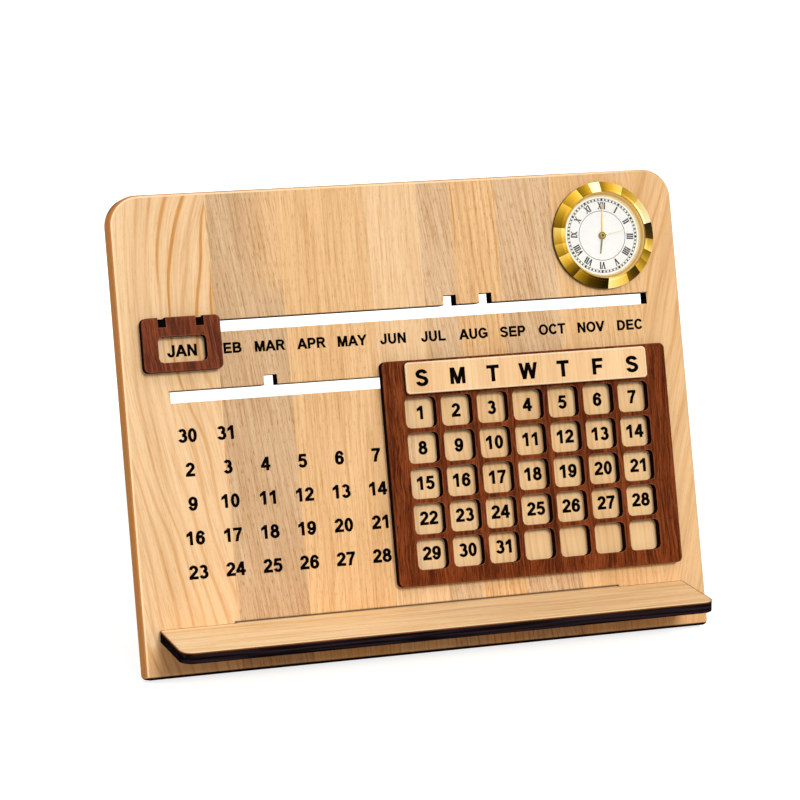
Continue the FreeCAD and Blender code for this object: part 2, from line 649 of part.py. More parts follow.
def setting_knob():
    solid = toothed(KNOB_RIBS, KNOB_R, KNOB_R - KNOB_RIB_H, KNOB_Z)
    bore = disc(ARBOR_R + HAND_SEAT, (KNOB_Z[1] - KNOB_BORE, KNOB_Z[1] + THROUGH))
    return moved(solid.cut(bore), *MINUTE_XY)


# ---- clock: hands ------------------------------------------------------------------
def hand(z, shape, pipe_radius, angle):
    """Tapered hand with a round hub, pointing an angle clockwise from twelve."""
    length, root_width, tip_width, hub_radius = shape
    arm = prism([V(-root_width / 2, 0, z[0]), V(root_width / 2, 0, z[0]),
                 V(tip_width / 2, length, z[0]), V(-tip_width / 2, length, z[0])], V(0, 0, z[1] - z[0]))
    solid = arm.fuse(disc(hub_radius, z)).cut(disc(pipe_radius + HAND_SEAT, beyond(z)))
    solid.rotate(V(0, 0, 0), V(0, 0, 1), -angle)
    return solid


# ---- write the sub-parts -----------------------------------------------------------
os.makedirs(OUT, exist_ok=True)

save("panel_board", BOARD_FRAME, board())
save("shelf", TABLE_FRAME, shelf())
for side, leg_x in (("left", -LEG_X), ("right", LEG_X)):
    save("leg_" + side, TABLE_FRAME, leg(leg_x))

save("month_slider_plate", BOARD_FRAME, month_slider())
save("calendar_grid_plate", BOARD_FRAME, grid_slider())
save("weekday_strip", BOARD_FRAME, weekday_strip())
for side, month_x, grid_x in zip(("left", "right"), MONTH_HOOKS, GRID_HOOKS):
    save("month_hook_" + side, BOARD_FRAME, hook(month_x, UPPER_SLOT_TOP))
    save("grid_hook_" + side, BOARD_FRAME, hook(grid_x, LOWER_SLOT_TOP))

CLOCK_PARTS = {
    "clock_bezel": bezel(),
    "clock_crystal": crystal(),
    "clock_inner_ring": sloped_ring(),
    "clock_dial": dial(),
    "clock_case": case(),
    "clock_grip_ring": grip_ring(),
    "movement_plate": movement_plate(),
    "movement_housing": movement_housing(),
    "battery_cover": battery_cover(),
    "button_cell": button_cell(),
    "cell_contact": cell_contact(),
    "cannon_pinion": cannon_pinion(),
    "minute_wheel": minute_wheel(),
    "setting_knob": setting_knob(),
    "hour_wheel": hour_wheel(),
    "second_arbor": second_arbor(),
    "hour_hand": hand(HOUR_HAND_Z, HOUR_HAND, HOUR_PIPE_R, HOUR_AT),
    "minute_hand": hand(MINUTE_HAND_Z, MINUTE_HAND, CANNON_R, MINUTE_AT),
    "second_hand": hand(SECOND_HAND_Z, SECOND_HAND, SECOND_ARBOR_R, SECOND_AT),
}
for part_name, part_solid in CLOCK_PARTS.items():
    save(part_name, CLOCK_FRAME, part_solid)
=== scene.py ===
"""Looks of the desk clock with calendar: woods, metals, print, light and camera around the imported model."""

import json
import math

import bpy
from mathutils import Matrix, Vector


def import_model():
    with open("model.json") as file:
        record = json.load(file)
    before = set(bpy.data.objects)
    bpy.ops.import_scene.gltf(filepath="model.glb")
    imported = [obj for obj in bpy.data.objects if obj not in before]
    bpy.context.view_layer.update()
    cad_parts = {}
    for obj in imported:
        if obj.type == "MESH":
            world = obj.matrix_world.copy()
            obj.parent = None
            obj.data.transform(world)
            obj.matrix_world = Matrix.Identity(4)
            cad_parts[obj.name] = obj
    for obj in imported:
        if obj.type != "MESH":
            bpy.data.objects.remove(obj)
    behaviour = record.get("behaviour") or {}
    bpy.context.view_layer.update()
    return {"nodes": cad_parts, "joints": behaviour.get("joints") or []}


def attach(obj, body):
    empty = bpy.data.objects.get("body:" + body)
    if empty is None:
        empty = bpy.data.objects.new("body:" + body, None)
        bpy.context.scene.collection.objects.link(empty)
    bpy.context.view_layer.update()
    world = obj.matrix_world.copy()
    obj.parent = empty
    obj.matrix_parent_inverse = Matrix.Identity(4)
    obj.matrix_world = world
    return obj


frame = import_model()

# ---- the board's own frame, in millimetres: across from its middle, up its face, out of its face
MM = 0.001
JOINTS = {joint["name"]: joint for joint in frame["joints"]}
RIGHT = Vector((1, 0, 0))
OUT = Vector(JOINTS["clock_pull"]["axis"]).normalized()
UP = OUT.cross(RIGHT)
CLOCK_AT = (99.85, 185.65)
CLOCK_TURN = 4.3
ORIGIN = Vector(JOINTS["minute_spin"]["pos_m"]) - (RIGHT * CLOCK_AT[0] + UP * CLOCK_AT[1]) * MM
LEAN = math.atan2(UP.z, UP.y)

# ---- slots of the board: left end, right end, foot, top
UPPER_SLOT = (-118.7, 119.7, 152.5, 157.8)
LOWER_SLOT = (-114.15, 112.15, 121.8, 127.1)
MORTISE = (-92.8, 92.8, 16.6, 22.15)


def point(x, v, n=0.0):
    """The row-frame point of board millimetres."""
    return ORIGIN + (RIGHT * x + UP * v + OUT * n) * MM


def srgb(red, green, blue):
    """A colour as a picture shows it, 0 to 255, in linear light."""
    shares = (red / 255, green / 255, blue / 255)
    return tuple(s / 12.92 if s <= 0.04045 else ((s + 0.055) / 1.055) ** 2.4 for s in shares) + (1.0,)


class Shader:
    """One procedural material, with short calls that add its nodes."""

    def __init__(self, name, **surface):
        self.material = bpy.data.materials.new(name)
        self.material.use_nodes = True
        self.tree = self.material.node_tree
        self.tree.nodes.clear()
        self.bsdf = self.node("BsdfPrincipled")
        for key, value in surface.items():
            self.set(self.bsdf.inputs[key.replace("_", " ")], value)
        output = self.node("OutputMaterial")
        self.tree.links.new(self.bsdf.outputs[0], output.inputs["Surface"])

    def set(self, socket, value):
        if isinstance(value, bpy.types.NodeSocket):
            self.tree.links.new(value, socket)
        else:
            socket.default_value = value

    def node(self, kind, **settings):
        made = self.tree.nodes.new("ShaderNode" + kind)
        for key, value in settings.items():
            setattr(made, key, value)
        return made

    def math(self, operation, *values):
        made = self.node("Math", operation=operation)
        for socket, value in zip(made.inputs, values):
            self.set(socket, value)
        return made.outputs[0]

    def vector_math(self, operation, *values):
        made = self.node("VectorMath", operation=operation)
        for socket, value in zip(made.inputs, values):
            self.set(socket, value)
        return made.outputs["Value"] if operation in ("DOT_PRODUCT", "LENGTH") else made.outputs["Vector"]

    def board(self):
        """Board millimetres as a vector: across, up the face, out of it."""
        place = self.node("TexCoord").outputs["Object"]
        mapping = self.node("Mapping", vector_type="TEXTURE")
        self.set(mapping.inputs["Vector"], place)
        self.set(mapping.inputs["Location"], ORIGIN)
        self.set(mapping.inputs["Rotation"], (LEAN, 0, 0))
        self.set(mapping.inputs["Scale"], (MM, MM, MM))
        return mapping.outputs[0]

    def split(self, vector):
        made = self.node("SeparateXYZ")
        self.set(made.inputs[0], vector)
        return made.outputs[0], made.outputs[1], made.outputs[2]

    def join(self, x, y, z):
        made = self.node("CombineXYZ")
        for socket, value in zip(made.inputs, (x, y, z)):
            self.set(socket, value)
        return made.outputs[0]

    def noise(self, vector, stretch=(1, 1, 1), detail=2.0, roughness=0.5, offset=(0, 0, 0)):
        """Noise from 0 to 1, whose features are 1/stretch long on each axis."""
        mapping = self.node("Mapping")
        self.set(mapping.inputs["Vector"], vector)
        self.set(mapping.inputs["Scale"], stretch)
        self.set(mapping.inputs["Location"], offset)
        made = self.node("TexNoise")
        self.set(made.inputs["Vector"], mapping.outputs[0])
        self.set(made.inputs["Scale"], 1.0)
        self.set(made.inputs["Detail"], detail)
        self.set(made.inputs["Roughness"], roughness)
        return made.outputs[0]

    def ramp(self, factor, stops, interpolation="LINEAR", raw=False):
        """A ramp of (place, (red, green, blue)) stops: colours as a picture shows them, or plain if raw."""
        made = self.node("ValToRGB")
        made.color_ramp.interpolation = interpolation
        elements = made.color_ramp.elements
        while len(elements) < len(stops):
            elements.new(0.5)
        for element, (place, colour) in zip(elements, stops):
            element.position = place
            element.color = (*colour, 1.0) if raw else srgb(*colour)
        self.set(made.inputs[0], factor)
        return made.outputs[0]

    def span(self, value, low, high, start=0.0, end=1.0, smooth=True):
        """value from low..high laid onto start..end, held at both ends."""
        made = self.node("MapRange")
        made.interpolation_type = "SMOOTHSTEP" if smooth else "LINEAR"
        for socket, number in zip(made.inputs, (value, low, high, start, end)):
            self.set(socket, number)
        return made.outputs[0]

    def mix(self, factor, first, second, blend="MIX"):
        made = self.node("Mix", data_type="RGBA", blend_type=blend)
        for index, value in ((0, factor), (6, first), (7, second)):
            self.set(made.inputs[index], value)
        return made.outputs[2]

    def normal_along(self, direction):
        """How far the surface faces a board direction, from -1 to 1, fixed to the piece."""
        facing = self.node("TexCoord").outputs["Normal"]
        return self.vector_math("DOT_PRODUCT", facing, direction)

    def near_edge(self, reach):
        """1 within reach millimetres of the piece's edges."""
        rounded = self.node("Bevel", samples=8)
        rounded.inputs["Radius"].default_value = reach * MM
        flat = self.node("NewGeometry").outputs["Normal"]
        return self.span(self.vector_math("DOT_PRODUCT", rounded.outputs[0], flat), 0.995, 0.93)

    def finish(self, height=None, depth=0.0):
        """Joins the bump to the surface."""
        if height is not None:
            bump = self.node("Bump")
            self.set(bump.inputs["Distance"], depth * MM)
            self.set(bump.inputs["Height"], height)
            self.set(self.bsdf.inputs["Normal"], bump.outputs[0])
        return self.material


def paint(material, *nodes):
    """Gives the material to the slots of CAD nodes."""
    for name in nodes:
        for slot in frame["nodes"][name].material_slots:
            slot.material = material


# ---- woods
# tints that a coat is multiplied by: for pores, dark and pale fibres, growth lines, streaks, and painted shade
# on the board's foot under the shelf
BROWNED = (0.62, 0.46, 0.30, 1.0)
SHADED = (0.76, 0.66, 0.54, 1.0)
BLEACHED = (1.08, 1.12, 1.20, 1.0)
LINED = (0.74, 0.51, 0.27, 1.0)
STREAKED = (0.90, 0.80, 0.66, 1.0)
UNDER_SHELF_SHADE = (0.93, 0.80, 0.66, 1.0)


def fibres(m, place, coat, strength=1.0):
    """Pale hardwood grain over a colour: broad bands, fine lines and short pores along the second axis."""
    broad = m.noise(place, (0.10, 0.006, 0.05), 3.0, 0.6)
    fine = m.noise(place, (1.2, 0.028, 0.3), 5.0, 0.75, (7, 3, 0))
    pores = m.noise(place, (2.6, 0.24, 1.0), 3.0, 0.65, (1, 9, 4))
    coat = m.mix(m.math("MULTIPLY", m.span(broad, 0.42, 0.66), 0.40), coat, SHADED, "MULTIPLY")
    coat = m.mix(m.math("MULTIPLY", m.span(fine, 0.50, 0.64), strength), coat, SHADED, "MULTIPLY")
    coat = m.mix(m.math("MULTIPLY", m.span(fine, 0.50, 0.38), strength), coat, BLEACHED, "MULTIPLY")
    sparse = m.math("POWER", strength, 2.0)
    coat = m.mix(m.math("MULTIPLY", m.span(pores, 0.55, 0.68), sparse), coat, BROWNED, "MULTIPLY")
    return coat, fine


def growth(m, path, v, apart, wide):
    """Growth lines about apart millimetres from each other, each with a soft halo and its own strength."""
    sway = m.noise(m.join(path, m.math("MULTIPLY", v, 0.25), 0.0), (0.05, 0.05, 1), 1.0, 0.5)
    phase = m.math("ADD", m.math("DIVIDE", path, apart), m.math("MULTIPLY", sway, 2.0))
    near = m.math("PINGPONG", phase, 0.5)
    line = m.math("MAXIMUM", m.span(near, wide, wide * 0.3), m.span(near, 0.5, 0.0, 0.0, 0.25))
    own = m.noise(m.join(m.math("ROUND", phase), m.math("MULTIPLY", v, 0.01), 0.0), (0.61, 1, 1), 0.0)
    return m.math("MULTIPLY", line, m.span(own, 0.35, 0.55, 0.4, 1.0))


def cut_edge(m, x, v, slot, reach):
    """1 just above a slot's upper edge, where the saw burnt the face."""
    left, right, _, top = slot
    across = m.math("MULTIPLY", m.span(x, left - 1, left), m.span(x, right + 1, right))
    return m.math("MULTIPLY", across, m.span(m.math("ABSOLUTE", m.math("SUBTRACT", v, top)), reach, 0.1))


def outline(m, x, v):
    """Millimetres inward from the board's outline, whose upper corners are round."""
    qx = m.math("SUBTRACT", m.math("ABSOLUTE", x), BOARD_WIDE / 2 - BOARD_ROUND)
    qv = m.math("SUBTRACT", v, BOARD_HIGH - BOARD_ROUND)
    px, pv = m.math("MAXIMUM", qx, 0.0), m.math("MAXIMUM", qv, 0.0)
    corner = m.math("SQRT", m.math("ADD", m.math("MULTIPLY", px, px), m.math("MULTIPLY", pv, pv)))
    flat = m.math("MINIMUM", m.math("MAXIMUM", qx, qv), 0.0)
    return m.math("SUBTRACT", BOARD_ROUND, m.math("ADD", corner, flat))


# wood tones of the board; the real woods aren't known, so the names are only labels
MAPLE, BEECH, OAK, ASH = (242, 203, 156), (237, 193, 141), (226, 190, 149), (216, 180, 140)
# its staves: left edge, tone, then slant (0.5 is upright), line strength and grain strength
LEFT_JOINT, TAN_JOINT, RIGHT_JOINT = -91.2, -57.5, 116.5
STAVES = (
    (-136.3, MAPLE, (0.50, 1.00, 0.55)),
    (LEFT_JOINT, ASH, (0.62, 0.25, 1.00)),
    (TAN_JOINT, BEECH, (0.50, 0.25, 0.80)),
    (-17.0, MAPLE, (0.50, 0.20, 0.70)),
    (9.5, OAK, (0.64, 0.25, 1.00)),
    (24.5, BEECH, (0.54, 0.50, 0.90)),
    (47.5, OAK, (0.62, 0.35, 1.00)),
    (75.0, BEECH, (0.55, 0.25, 0.75)),
    (RIGHT_JOINT, BEECH, (0.22, 0.50, 0.50)),
)
JOINT_BLUR = 0.1
BOARD_WIDE, BOARD_HIGH, BOARD_ROUND = 272.5, 215.8, 13.5
LINES_FROM = 150.0       # height on the board from which the growth lines rise and fall
BEND_FOOT = -34.0        # below that height, where the left stave's lines run straight on


def board_wood():
    """The board: staves of different tones side by side, with sawn walls burnt dark."""
    m = Shader("board_wood", Roughness=0.5, Specular_IOR_Level=0.0)
    place = m.board()
    x, v, n = m.split(place)
    across = m.math("ADD", m.math("DIVIDE", x, BOARD_WIDE), 0.5)
    base = m.ramp(across, [(edge / BOARD_WIDE + 0.5, tone) for edge, tone, _ in STAVES], "CONSTANT")
    traits = m.ramp(across, [(edge / BOARD_WIDE + 0.5, trait) for edge, _, trait in STAVES], "CONSTANT", True)
    slant, strength, grain = m.split(traits)

    # the left stave's growth lines bow, the others' lean
    rise = m.math("SUBTRACT", v, LINES_FROM)
    upper = m.math("MAXIMUM", rise, BEND_FOOT)
    bend = m.math("MULTIPLY", upper, m.math("SUBTRACT", m.math("MULTIPLY", upper, -0.0022), -0.05))
    opening = m.math("MULTIPLY", m.span(x, -122.0, -92.0, -0.5, 0.75), m.span(rise, 0.0, 20.0))
    bend = m.math("MULTIPLY", bend, m.math("ADD", opening, 1.0))
    lower = m.math("MINIMUM", m.math("SUBTRACT", rise, BEND_FOOT), 0.0)
    bend = m.math("ADD", bend, m.math("MULTIPLY", lower, 0.2))
    bowed = m.math("MULTIPLY", bend, m.span(x, LEFT_JOINT + JOINT_BLUR, LEFT_JOINT - JOINT_BLUR))
    leaning = m.math("MULTIPLY", m.math("SUBTRACT", slant, 0.5), rise)
    drift = m.noise(place, (0.03, 0.012, 0), 1.0, 0.4, (5, 2, 0))
    wander = m.math("MULTIPLY", m.math("SUBTRACT", drift, 0.5), 16.0)
    path = m.math("ADD", m.math("ADD", x, bowed), m.math("ADD", leaning, wander))
    middle = m.math("MULTIPLY", m.span(x, LEFT_JOINT - JOINT_BLUR, LEFT_JOINT + JOINT_BLUR),
                    m.span(x, RIGHT_JOINT + JOINT_BLUR, RIGHT_JOINT - JOINT_BLUR))
    plain = m.math("MULTIPLY", m.span(path, -132.0, -108.0, 0.2, 1.0), m.span(v, 115.0, 150.0, 0.55, 1.0))
    plain = m.math("MAXIMUM", plain, m.span(v, 140.0, 100.0, 0.0, 0.5))
    bold = m.math("MULTIPLY", growth(m, path, v, 5.2, 0.19), plain)
    lines = m.math("MULTIPLY", m.mix(middle, bold, growth(m, path, v, 3.1, 0.22)), strength)

    # above the slots the tan stave pales to the right
    paling = m.math("MULTIPLY", m.span(x, -80.0, TAN_JOINT - JOINT_BLUR),
                    m.span(x, TAN_JOINT + 2 * JOINT_BLUR, TAN_JOINT - JOINT_BLUR))
    paling = m.math("MULTIPLY", paling, m.span(v, 160.0, 180.0, 0.0, 0.85))
    base = m.mix(paling, base, srgb(*BEECH))

    # the field behind the grid slider is one even tone, down to the slider's foot
    field = m.math("MULTIPLY", m.span(x, -2.0, 2.0), m.span(x, 120.0, 112.0))
    covered = m.math("MULTIPLY", m.span(v, 134.0, 120.0, 0.0, 0.9), m.span(v, 31.0, 35.0))
    field = m.math("MULTIPLY", field, covered)
    base = m.mix(field, base, srgb(250, 208, 154))
    # painted shade: below the shelf the face darkens and warms toward its foot
    base = m.mix(m.span(v, 17.0, 12.0, 0.0, 0.8), base, UNDER_SHELF_SHADE, "MULTIPLY")
    straight = m.join(m.math("ADD", m.math("ADD", x, bowed), leaning), v, n)
    grain = m.math("MULTIPLY", grain, m.math("SUBTRACT", 1.0, m.math("MULTIPLY", field, 0.8)))
    wood, fine = fibres(m, straight, m.mix(lines, base, LINED, "MULTIPLY"), grain)

    # sawn walls: the rim is orange-brown, the slots and the foot are burnt
    facing = m.math("ABSOLUTE", m.normal_along(OUT))
    wall = m.span(facing, 0.60, 0.25)
    inside = m.math("MULTIPLY", m.span(v, 120.0, 121.0), m.span(v, 166.0, 164.0))
    inside = m.math("MULTIPLY", inside, m.span(m.math("ABSOLUTE", x), 134.0, 132.0))
    mortise = m.math("MULTIPLY", m.span(v, 30.0, 28.0), m.span(m.math("ABSOLUTE", x), 110.0, 108.0))
    burnt = m.math("MAXIMUM", m.math("MAXIMUM", inside, mortise), m.span(v, 1.2, 0.6))
    streaked = m.noise(place, (0.3, 0.3, 2.5), 3.0)
    rim = m.mix(streaked, srgb(248, 160, 88), srgb(255, 180, 108))
    rim = m.mix(m.span(m.normal_along(UP), 0.2, 0.8), rim, srgb(166, 116, 76))
    rim = m.mix(burnt, rim, srgb(24, 10, 6))
    scorch = m.math("MAXIMUM", cut_edge(m, x, v, UPPER_SLOT, 0.55), cut_edge(m, x, v, LOWER_SLOT, 0.55))
    scorch = m.math("MAXIMUM", scorch, cut_edge(m, x, v, MORTISE, 0.9))
    wood = m.mix(m.math("MULTIPLY", scorch, 0.8), wood, srgb(52, 28, 16))
    # a near-black band along the foot of the face: the burnt arris, with painted contact shadow along it
    wood = m.mix(m.span(v, 1.5, 0.9), wood, srgb(24, 14, 10))
    coat = m.mix(wall, wood, rim)
    inward = outline(m, x, v)
    browned = m.math("ADD", m.span(x, -118.0, -134.0, 0.35, 1.15), m.span(x, 60.0, 120.0, 0.0, -0.35))
    past = m.math("SUBTRACT", inward, browned)
    above = m.span(v, 1.0, 2.0)
    toned = m.mix(wall, m.mix(streaked, srgb(180, 118, 62), srgb(194, 132, 76)), rim)
    coat = m.mix(m.math("MULTIPLY", m.span(past, 0.15, -0.15), above), coat, toned)
    # painted highlight: a bright line just inside the outline, where the rounded arris catches the light
    bright = m.math("MULTIPLY", m.span(past, 0.0, 0.3), m.span(past, 1.15, 0.7))
    bright = m.math("MULTIPLY", bright, m.math("MULTIPLY", above, m.span(facing, 0.5, 0.8)))
    arris = m.mix(m.span(x, 100.0, 132.0), srgb(254, 218, 172), srgb(226, 184, 138))
    coat = m.mix(bright, coat, arris)
    m.set(m.bsdf.inputs["Base Color"], coat)
    return m.finish(fine, 0.02)


def shelf_wood():
    """The shelf: grain along its length, burnt edges, and painted highlights along the arrises of its top."""
    m = Shader("shelf_wood", Roughness=0.5, Specular_IOR_Level=0.0)
    place = m.node("TexCoord").outputs["Object"]
    x, y, z = m.split(place)
    along = m.join(m.math("DIVIDE", y, MM), m.math("DIVIDE", x, MM), m.math("DIVIDE", z, MM))
    base = m.ramp(m.span(x, -0.12, 0.05, 0, 1, False), ((0.0, (255, 222, 174)), (1.0, (254, 212, 158))))
    wood, fine = fibres(m, along, base, 0.55)
    streaks = m.noise(along, (0.35, 0.008, 0.3), 4.0, 0.6, (2, 4, 0))
    wood = m.mix(m.span(streaks, 0.50, 0.62, 0.0, 0.7), wood, STREAKED, "MULTIPLY")
    # painted highlight: a bright strip along the top's front arris; along the top's other edges a thin brown
    # line
    front = m.span(y, -0.0492, -0.0508)
    arris = m.near_edge(1.6)
    wood = m.mix(m.math("MULTIPLY", arris, m.span(y, -0.0500, -0.0485)), wood, srgb(150, 98, 58))
    wood = m.mix(front, wood, srgb(255, 230, 178))
    level = m.math("ABSOLUTE", m.normal_along((0, 0, 1)))
    edge = m.mix(m.span(m.noise(along, (0.6, 0.02, 1.2), 3.0), 0.4, 0.6), srgb(13, 8, 10), srgb(42, 31, 34))
    # painted highlight: an orange-brown line along the top of the burnt walls, under the arris
    edge = m.mix(m.math("MULTIPLY", arris, m.span(z, 0.0218, 0.0224)), edge, srgb(150, 84, 42))
    coat = m.mix(m.span(level, 0.75, 0.4), wood, edge)
    m.set(m.bsdf.inputs["Base Color"], coat)
    return m.finish(fine, 0.02)


def leg_wood():
    """The legs: grain up the leg, edges browned by the saw."""
    m = Shader("leg_wood", Roughness=0.5, Specular_IOR_Level=0.0)
    place = m.node("TexCoord").outputs["Object"]
    x, y, z = m.split(place)
    upright = m.join(m.math("DIVIDE", y, MM), m.math("DIVIDE", z, MM), m.math("DIVIDE", x, MM))
    tone = m.mix(m.noise(upright, (0.05, 0.01, 0.05)), srgb(232, 190, 142), srgb(244, 205, 156))
    wood, fine = fibres(m, upright, tone)
    side = m.math("ABSOLUTE", m.normal_along((1, 0, 0)))
    m.set(m.bsdf.inputs["Base Color"], m.mix(m.span(side, 0.75, 0.4), wood, srgb(62, 38, 26)))
    return m.finish(fine, 0.02)


def walnut(name, slant, sway, paler):
    """A slider's red-brown wood with dark wavy streaks up the board, near black on its sawn walls."""
    m = Shader(name, Roughness=0.45, Specular_IOR_Level=0.0)
    place = m.board()
    x, v, n = m.split(place)
    waves = m.math("MULTIPLY", m.noise(place, (0.05, 0.03, 0.1), 2.0), sway)
    path = m.join(m.math("ADD", m.math("ADD", x, m.math("MULTIPLY", v, slant)), waves), v, n)
    broad = m.noise(path, (0.22, 0.015, 0.1), 3.0, 0.6)
    streak = m.noise(path, (1.1, 0.045, 0.3), 5.0, 0.75, (3, 8, 0))
    pores = m.noise(path, (2.8, 0.22, 1.0), 3.0, 0.65, (4, 1, 2))
    base = m.mix(m.span(broad, 0.40, 0.60), srgb(96, 43, 20), srgb(126, 60, 28))
    base = m.mix(m.span(streak, 0.50, 0.60, 0, 0.65), base, srgb(56, 24, 12))
    base = m.mix(m.span(streak, 0.49, 0.39, 0, 0.65), base, srgb(148, 78, 40))
    base = m.mix(m.span(pores, 0.54, 0.64, 0, 0.65), base, srgb(38, 16, 11))
    base = m.mix(paler, base, srgb(150, 100, 96))
    # painted highlight: a lighter reddish line along the edges, where the arris catches the light
    base = m.mix(m.math("MULTIPLY", m.near_edge(0.7), 0.35), base, srgb(186, 112, 80))
    facing = m.math("ABSOLUTE", m.normal_along(OUT))
    walls = m.mix(m.noise(place, (0.5, 0.5, 1.5), 2.0), srgb(20, 9, 6), srgb(40, 20, 14))
    m.set(m.bsdf.inputs["Base Color"], m.mix(m.span(facing, 0.75, 0.4), base, walls))
    return m.finish(streak, 0.03)


STRIP_BANDS = 7
STRIP_LEFT, STRIP_RIGHT = -5.5, 113.5


def strip_wood():
    """The weekday strip: one pale board in upright bands of slightly different tone."""
    m = Shader("strip_wood", Roughness=0.5, Specular_IOR_Level=0.0)
    place = m.board()
    across = m.span(m.split(place)[0], STRIP_LEFT, STRIP_RIGHT, 0, 1, False)
    uneven = m.math("MULTIPLY", m.math("SINE", m.math("MULTIPLY", across, 2 * math.pi)), 0.5)
    band = m.math("FLOOR", m.math("ADD", m.math("MULTIPLY", across, STRIP_BANDS), uneven))
    shade = m.span(m.noise(m.join(band, 0.0, 0.0), (0.61, 1, 1), 0.0, 0.5, (0.3, 0, 0)), 0.35, 0.65, 0.3, 1.0)
    wood, fine = fibres(m, place, m.mix(shade, srgb(234, 188, 135), srgb(248, 208, 159)), 0.35)
    facing = m.math("ABSOLUTE", m.normal_along(OUT))
    wood = m.mix(m.span(facing, 0.7, 0.3), wood, srgb(96, 58, 34))
    # painted highlight: a near-white line along the front edges, where the arris catches the light
    wood = m.mix(m.math("MULTIPLY", m.near_edge(1.3), m.span(facing, 0.5, 0.8)), wood, srgb(255, 242, 216))
    m.set(m.bsdf.inputs["Base Color"], wood)
    return m.finish(fine, 0.02)


# ---- metals, plastics, glass and ink
def around_clock(m):
    """Share of a turn clockwise from the dial's 12, and the distance from its centre in millimetres."""
    x, v, _ = m.split(m.board())
    dx = m.math("SUBTRACT", x, CLOCK_AT[0])
    dv = m.math("SUBTRACT", v, CLOCK_AT[1])
    turn = m.math("DIVIDE", m.math("ARCTAN2", dx, dv), 2 * math.pi)
    away = m.math("SQRT", m.math("ADD", m.math("MULTIPLY", dx, dx), m.math("MULTIPLY", dv, dv)))
    return m.math("FRACT", m.math("ADD", turn, 1.0)), away


# painted reflection: what polished gilt would mirror, in even steps from the dark of a room up to a lamp's glint
REFLECTED_TONES = ((16, 10, 0), (70, 48, 4), (140, 104, 16), (202, 156, 46), (242, 204, 104), (253, 238, 184))
BEZEL_SECTORS = 20


def bezel_gilt():
    """Polished gilt turned ring, with a painted reflection of light and dark sectors on its facet, and painted
    shade on the left of its outer side.
    """
    m = Shader("bezel_gilt", Metallic=1.0)
    turn, away = around_clock(m)
    # painted reflection in sectors of uneven width, by turns light and dark, brighter at the top of the ring
    # than at its foot
    angle = m.math("MULTIPLY", turn, 2 * math.pi)
    uneven = m.math("MULTIPLY", m.math("SINE", m.math("MULTIPLY", angle, 3.0)), 0.45)
    place = m.math("ADD", m.math("MULTIPLY", turn, BEZEL_SECTORS), uneven)
    sector = m.math("FLOOR", place)
    own = m.noise(m.join(sector, 0.0, 0.0), (0.61, 1, 1), 0.0)
    level = m.span(own, 0.3, 0.7, -0.12, 0.46, False)
    level = m.math("ADD", level, m.math("MULTIPLY", m.math("PINGPONG", sector, 1.0), 0.44))
    level = m.math("ADD", level, m.math("MULTIPLY", m.math("COSINE", angle), 0.14))
    level = m.math("ADD", level, m.math("MULTIPLY", m.math("FRACT", place), 0.26))
    facet = m.ramp(level, [(step / (len(REFLECTED_TONES) - 1), tone) for step, tone in enumerate(REFLECTED_TONES)])
    lathe = m.noise(m.join(m.math("MULTIPLY", away, 9.0), turn, 0.0), (1, 1, 1), 2.0)
    facet = m.mix(m.span(lathe, 0.3, 0.7, 0.0, 0.06), facet, srgb(160, 120, 30))
    facing = m.normal_along(OUT)
    # painted shade: the ring's outer side is darker on its left half
    shaded_outer = m.mix(m.span(turn, 0.45, 0.55), srgb(150, 112, 24), srgb(70, 46, 8))
    side = m.mix(m.span(away, 22.0, 24.0), srgb(232, 190, 92), shaded_outer)
    facet = m.mix(m.span(facing, 0.6, 0.2), facet, side)
    m.set(m.bsdf.inputs["Base Color"], facet)
    m.set(m.bsdf.inputs["Roughness"], m.span(away, 21.9, 21.5, 0.24, 0.6))
    return m.finish(lathe, 0.003)


def ring_gilt():
    """The ring between crystal and dial: a painted reflection of the white dial, pale at the dial and gold at
    the lip.
    """
    m = Shader("ring_gilt", Metallic=1.0, Roughness=0.5)
    turn, away = around_clock(m)
    marks = m.noise(m.join(m.math("MULTIPLY", away, 6.0), m.math("MULTIPLY", turn, 9.0), 0.0), (1, 1, 1), 3.0)
    far = m.span(away, 18.2, 20.2, 0, 1, False)
    # painted reflection of the white dial, fading to gold toward the lip
    dial_reflection = m.ramp(far, ((0.0, (250, 242, 214)), (0.35, (242, 218, 150)),
                         (0.62, (196, 148, 44)), (1.0, (240, 200, 92))))
    m.set(m.bsdf.inputs["Base Color"], m.mix(m.span(marks, 0.3, 0.7, 0.0, 0.2), dial_reflection, srgb(214, 170, 84)))
    return m.finish(marks, 0.003)


def hand_gilt(name, arm):
    """A hand: its arm's colour, a gold hub ringed with painted shade where a groove would be, and a dark arbor
    end.
    """
    m = Shader(name, Metallic=0.8, Roughness=0.4, Specular_IOR_Level=0.0)
    _, away = around_clock(m)
    marks = m.noise(m.board(), (3, 3, 3), 2.0)
    hub = m.mix(marks, srgb(128, 104, 8), srgb(180, 150, 28))
    # painted shade: a dark ring on the hub standing in for a groove
    groove_shade = m.math("MULTIPLY", m.span(away, 1.15, 1.3), m.span(away, 1.65, 1.5))
    hub = m.mix(groove_shade, hub, srgb(44, 26, 4))
    hub = m.mix(m.span(away, 0.75, 0.6), hub, srgb(8, 6, 1))
    m.set(m.bsdf.inputs["Base Color"], m.mix(m.span(away, 1.75, 1.95), hub, srgb(*arm)))
    return m.finish(marks, 0.003)


def metal(name, low, high, roughness):
    """Plain metal with a fine brushed mottling."""
    m = Shader(name, Metallic=1.0, Roughness=roughness)
    grain = m.noise(m.board(), (0.4, 9.0, 0.4), 3.0)
    m.set(m.bsdf.inputs["Base Color"], m.mix(grain, srgb(*low), srgb(*high)))
    return m.finish(grain, 0.003)


